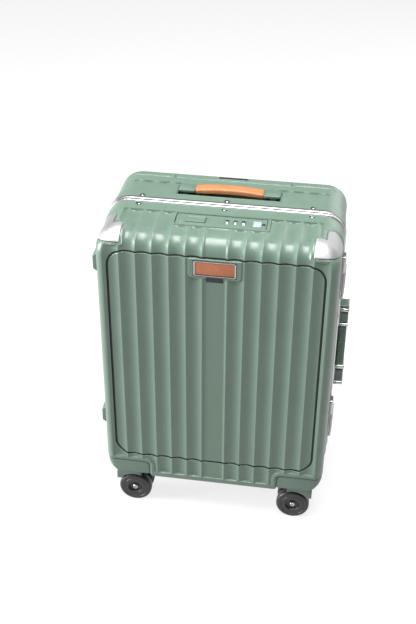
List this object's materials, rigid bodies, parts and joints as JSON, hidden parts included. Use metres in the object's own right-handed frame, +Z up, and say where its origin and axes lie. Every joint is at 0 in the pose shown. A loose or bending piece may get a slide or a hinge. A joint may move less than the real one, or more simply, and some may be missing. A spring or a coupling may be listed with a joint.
{
  "type": "hard shell suitcase",
  "caption": "Cabin suitcase with ribbed hard shell, aluminium frame, front door, combination lock, leather top grip, telescopic handle and twin-wheel casters.",
  "frame": {"origin": "centre of the footprint of the overall box, on the floor under the wheels", "axes": "+X to the case's right side seen from the front, -Y to the front door, +Z up"},
  "size_m": [0.4098, 0.2326, 0.5642],
  "materials": {
    "shell": "satin polycarbonate, sage green",
    "frame": "anodised",
    "hardware": "polished",
    "grip_leather": "smooth tan leather",
    "badge_leather": "smooth brown leather",
    "moulded_parts": "satin moulded",
    "seal": "matte",
    "lining": "woven polyester",
    "tubes": "anodised",
    "wheel": "matte tyre on a black hub"
  },
  "bodies": {
    "rear_half": {"rear_shell": "shell", "rear_frame": "frame", "rear_lining": "lining", "top_handle_tray": "moulded_parts", "trolley_bezel": "moulded_parts", "trolley_sleeve_left": "tubes", "trolley_sleeve_right": "tubes", "side_handle_bracket_lower": "frame", "side_handle_bracket_upper": "frame", "side_foot_rear_lower": "moulded_parts", "side_foot_rear_upper": "moulded_parts", "hinge_rear_lower": "hardware", "hinge_rear_upper": "hardware", "caster_housing_rear_left": "moulded_parts", "caster_housing_rear_right": "moulded_parts"},
    "front_half": {"front_shell": "shell", "front_frame": "frame", "front_lining": "lining", "door_seal": "seal", "corner_guard_left": "frame", "corner_guard_right": "frame", "lock_housing": "moulded_parts", "latch_base_lower": "hardware", "latch_base_upper": "hardware", "hinge_front_lower": "hardware", "hinge_front_upper": "hardware", "side_foot_front_lower": "moulded_parts", "side_foot_front_upper": "moulded_parts", "caster_housing_front_left": "moulded_parts", "caster_housing_front_right": "moulded_parts"},
    "door": {"door_panel": "shell", "badge_frame": "hardware", "badge_leather": "badge_leather", "door_catch": "hardware"},
    "release_button": {"release_button": "moulded_parts"},
    "dial_1": {"dial_1": "hardware"},
    "dial_2": {"dial_2": "hardware"},
    "dial_3": {"dial_3": "hardware"},
    "key_cylinder": {"key_cylinder": "hardware"},
    "latch_lever_lower": {"latch_lever_lower": "hardware"},
    "latch_lever_upper": {"latch_lever_upper": "hardware"},
    "top_handle": {"top_handle_bar": "moulded_parts", "top_handle_grip": "grip_leather"},
    "side_handle": {"side_handle_grip": "moulded_parts"},
    "trolley_stage": {"trolley_stage_left": "tubes", "trolley_stage_right": "tubes"},
    "trolley_grip": {"trolley_grip": "moulded_parts"},
    "trolley_button": {"trolley_button": "moulded_parts"},
    "caster_front_left": {"caster_fork_front_left": "moulded_parts"},
    "wheel_front_left_a": {"wheel_front_left_a": "wheel"},
    "wheel_front_left_b": {"wheel_front_left_b": "wheel"},
    "caster_front_right": {"caster_fork_front_right": "moulded_parts"},
    "wheel_front_right_a": {"wheel_front_right_a": "wheel"},
    "wheel_front_right_b": {"wheel_front_right_b": "wheel"},
    "caster_rear_left": {"caster_fork_rear_left": "moulded_parts"},
    "wheel_rear_left_a": {"wheel_rear_left_a": "wheel"},
    "wheel_rear_left_b": {"wheel_rear_left_b": "wheel"},
    "caster_rear_right": {"caster_fork_rear_right": "moulded_parts"},
    "wheel_rear_right_a": {"wheel_rear_right_a": "wheel"},
    "wheel_rear_right_b": {"wheel_rear_right_b": "wheel"}
  },
  "joints": [
    {"name": "front_half_hinge", "type": "hinge", "parent": "rear_half", "child": "front_half", "pos_m": [-0.2015, 0.0023, 0.312], "axis": [0, 0, -1], "range_deg": [0, 100]},
    {"name": "door_hinge", "type": "hinge", "parent": "front_half", "child": "door", "pos_m": [-0.0047, -0.1147, 0.1165], "axis": [1, 0, 0], "range_deg": [0, 85]},
    {"name": "latch_lower_hinge", "type": "hinge", "parent": "front_half", "child": "latch_lever_lower", "pos_m": [0.1901, -0.0192, 0.1645], "axis": [0, 0, -1], "range_deg": [0, 100]},
    {"name": "latch_upper_hinge", "type": "hinge", "parent": "front_half", "child": "latch_lever_upper", "pos_m": [0.1901, -0.0192, 0.455], "axis": [0, 0, -1], "range_deg": [0, 100]},
    {"name": "release_button_press", "type": "slide", "parent": "front_half", "child": "release_button", "axis": [0, 0, -1], "range_m": [0, 0.0025], "stiffness_N_per_m": 600, "springref_m": -0.002},
    {"name": "dial_1_turn", "type": "hinge", "parent": "front_half", "child": "dial_1", "pos_m": [0.0043, -0.0495, 0.55], "axis": [1, 0, 0], "continuous": true},
    {"name": "dial_2_turn", "type": "hinge", "parent": "front_half", "child": "dial_2", "pos_m": [0.0173, -0.0495, 0.55], "axis": [1, 0, 0], "continuous": true},
    {"name": "dial_3_turn", "type": "hinge", "parent": "front_half", "child": "dial_3", "pos_m": [0.0303, -0.0495, 0.55], "axis": [1, 0, 0], "continuous": true},
    {"name": "key_turn", "type": "hinge", "parent": "front_half", "child": "key_cylinder", "pos_m": [0.0617, -0.0495, 0.5558], "axis": [0, 0, 1], "range_deg": [0, 90]},
    {"name": "top_handle_lift", "type": "slide", "parent": "rear_half", "child": "top_handle", "axis": [0, 0, 1], "range_m": [0, 0.012]},
    {"name": "side_handle_pull", "type": "slide", "parent": "rear_half", "child": "side_handle", "axis": [1, 0, 0], "range_m": [0, 0.006], "stiffness_N_per_m": 200, "springref_m": -0.002},
    {"name": "trolley_stage_slide", "type": "slide", "parent": "rear_half", "child": "trolley_stage", "axis": [0, 0, 1], "range_m": [0, 0.21]},
    {"name": "trolley_grip_slide", "type": "slide", "parent": "trolley_stage", "child": "trolley_grip", "axis": [0, 0, 1], "range_m": [0, 0.21]},
    {"name": "trolley_button_press", "type": "slide", "parent": "trolley_grip", "child": "trolley_button", "axis": [0, 0, -1], "range_m": [0, 0.0025], "stiffness_N_per_m": 600, "springref_m": -0.002},
    {"name": "swivel_front_left", "type": "hinge", "parent": "front_half", "child": "caster_front_left", "pos_m": [-0.1607, -0.0853, 0.072], "axis": [0, 0, 1], "continuous": true},
    {"name": "spin_front_left_a", "type": "hinge", "parent": "caster_front_left", "child": "wheel_front_left_a", "pos_m": [-0.1462, -0.0853, 0.029], "axis": [0, 1, 0], "continuous": true},
    {"name": "spin_front_left_b", "type": "hinge", "parent": "caster_front_left", "child": "wheel_front_left_b", "pos_m": [-0.1462, -0.0853, 0.029], "axis": [0, 1, 0], "continuous": true},
    {"name": "swivel_front_right", "type": "hinge", "parent": "front_half", "child": "caster_front_right", "pos_m": [0.1513, -0.0853, 0.072], "axis": [0, 0, 1], "continuous": true},
    {"name": "spin_front_right_a", "type": "hinge", "parent": "caster_front_right", "child": "wheel_front_right_a", "pos_m": [0.1368, -0.0853, 0.029], "axis": [0, 1, 0], "continuous": true},
    {"name": "spin_front_right_b", "type": "hinge", "parent": "caster_front_right", "child": "wheel_front_right_b", "pos_m": [0.1368, -0.0853, 0.029], "axis": [0, 1, 0], "continuous": true},
    {"name": "swivel_rear_left", "type": "hinge", "parent": "rear_half", "child": "caster_rear_left", "pos_m": [-0.1607, 0.0859, 0.072], "axis": [0, 0, 1], "continuous": true},
    {"name": "spin_rear_left_a", "type": "hinge", "parent": "caster_rear_left", "child": "wheel_rear_left_a", "pos_m": [-0.1462, 0.0859, 0.029], "axis": [0, 1, 0], "continuous": true},
    {"name": "spin_rear_left_b", "type": "hinge", "parent": "caster_rear_left", "child": "wheel_rear_left_b", "pos_m": [-0.1462, 0.0859, 0.029], "axis": [0, 1, 0], "continuous": true},
    {"name": "swivel_rear_right", "type": "hinge", "parent": "rear_half", "child": "caster_rear_right", "pos_m": [0.1513, 0.0859, 0.072], "axis": [0, 0, 1], "continuous": true},
    {"name": "spin_rear_right_a", "type": "hinge", "parent": "caster_rear_right", "child": "wheel_rear_right_a", "pos_m": [0.1368, 0.0859, 0.029], "axis": [0, 1, 0], "continuous": true},
    {"name": "spin_rear_right_b", "type": "hinge", "parent": "caster_rear_right", "child": "wheel_rear_right_b", "pos_m": [0.1368, 0.0859, 0.029], "axis": [0, 1, 0], "continuous": true}
  ]
}
